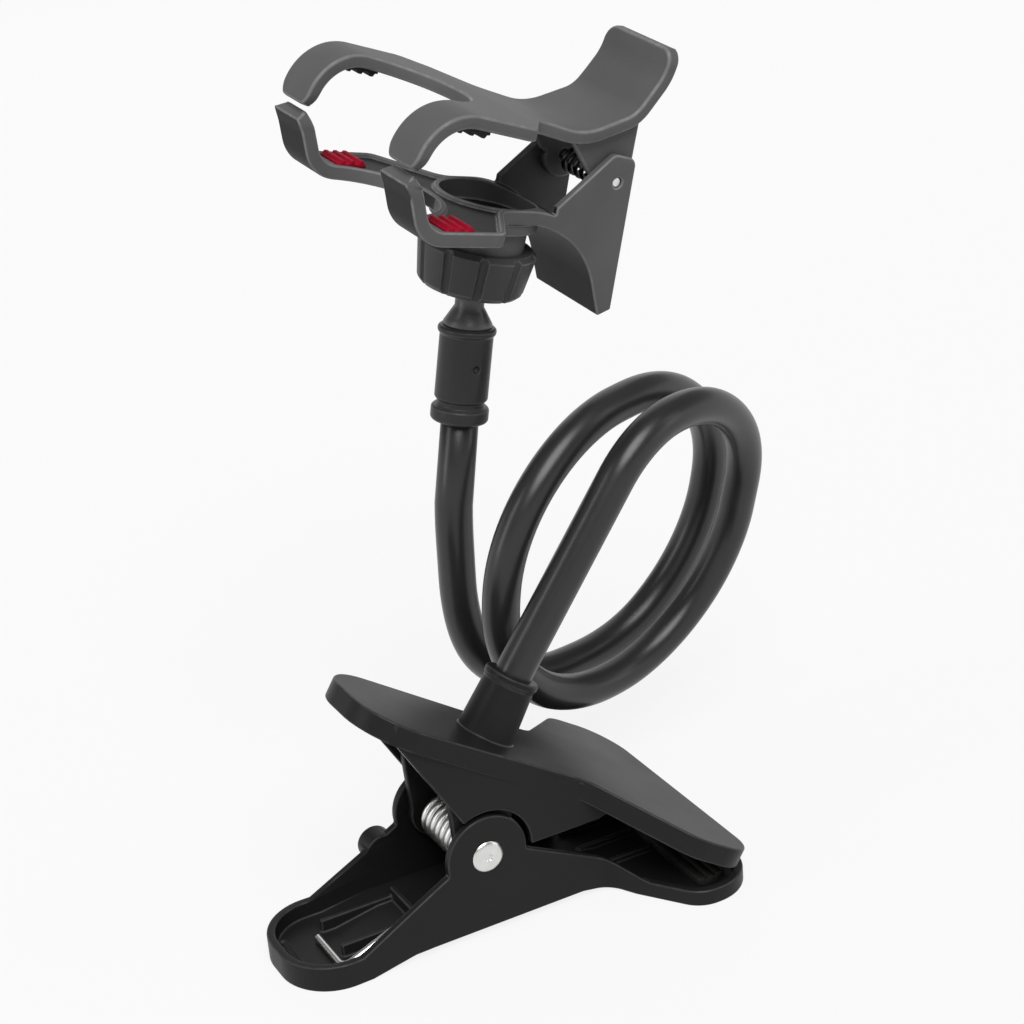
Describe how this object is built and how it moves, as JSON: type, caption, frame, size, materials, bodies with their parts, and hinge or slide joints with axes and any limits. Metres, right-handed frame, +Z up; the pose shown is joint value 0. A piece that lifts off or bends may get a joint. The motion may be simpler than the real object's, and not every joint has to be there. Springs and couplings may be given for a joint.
{
  "type": "phone gooseneck holder",
  "caption": "Spring base clip carrying a coiled bendable arm with a sprung phone clip on a ball joint locked by a lobed nut.",
  "frame": {"origin": "bottom centre of the overall box, on the surface the base clip lies on", "axes": "+Z up; +X along the base clip from its handle to its jaw; +Y away from the side shown in the picture"},
  "size_m": [0.1661, 0.0986, 0.2123],
  "materials": {
    "grey_plastic": "fine satin",
    "arm_cover": "smooth satin",
    "steel": "bright",
    "dark_rubber": "matt",
    "red_rubber": "matt"
  },
  "bodies": {
    "base": {"base_lower_jaw": "grey_plastic", "base_rivet": "steel", "base_spring": "steel", "lower_jaw_pad": "dark_rubber"},
    "upper": {"base_upper_jaw": "grey_plastic", "upper_jaw_pad": "dark_rubber", "gooseneck_arm": "arm_cover", "connector_sleeve": "grey_plastic"},
    "stud": {"ball_stud": "grey_plastic"},
    "nut": {"clamp_nut": "grey_plastic"},
    "clip": {"clip_lower_jaw": "grey_plastic", "clip_pin": "steel", "clip_spring": "steel", "lower_grip_near": "red_rubber", "lower_grip_far": "red_rubber"},
    "clip_top": {"clip_upper_jaw": "grey_plastic", "upper_grip_near": "dark_rubber", "upper_grip_far": "dark_rubber"}
  },
  "joints": [
    {"name": "base_open", "type": "hinge", "parent": "base", "child": "upper", "pos_m": [-0.0305, -0.01087, 0.0225], "axis": [0, -1, 0], "range_deg": [0, 50], "stiffness_Nm_per_rad": 0.35, "springref_deg": -97.4, "deforming": ["base_spring"]},
    {"name": "ball_swivel", "type": "hinge", "parent": "upper", "child": "stud", "pos_m": [0.00389, 0.02213, 0.15532], "axis": [0.1959, 0, 0.9806], "continuous": true},
    {"name": "ball_tilt", "type": "hinge", "parent": "stud", "child": "nut", "pos_m": [0.00389, 0.02213, 0.15532], "axis": [0.8242, 0.5419, -0.1647], "range_deg": [-26, 11]},
    {"name": "ball_turn", "type": "hinge", "parent": "nut", "child": "clip", "pos_m": [0.00389, 0.02213, 0.15532], "axis": [0.2599, -0.1035, 0.9601], "continuous": true},
    {"name": "clip_open", "type": "hinge", "parent": "clip", "child": "clip_top", "pos_m": [0.03786, 0.02241, 0.17428], "axis": [-0.0795, 0.9886, 0.1281], "range_deg": [0, 55], "stiffness_Nm_per_rad": 0.18, "springref_deg": -85.94, "deforming": ["clip_spring"]}
  ]
}
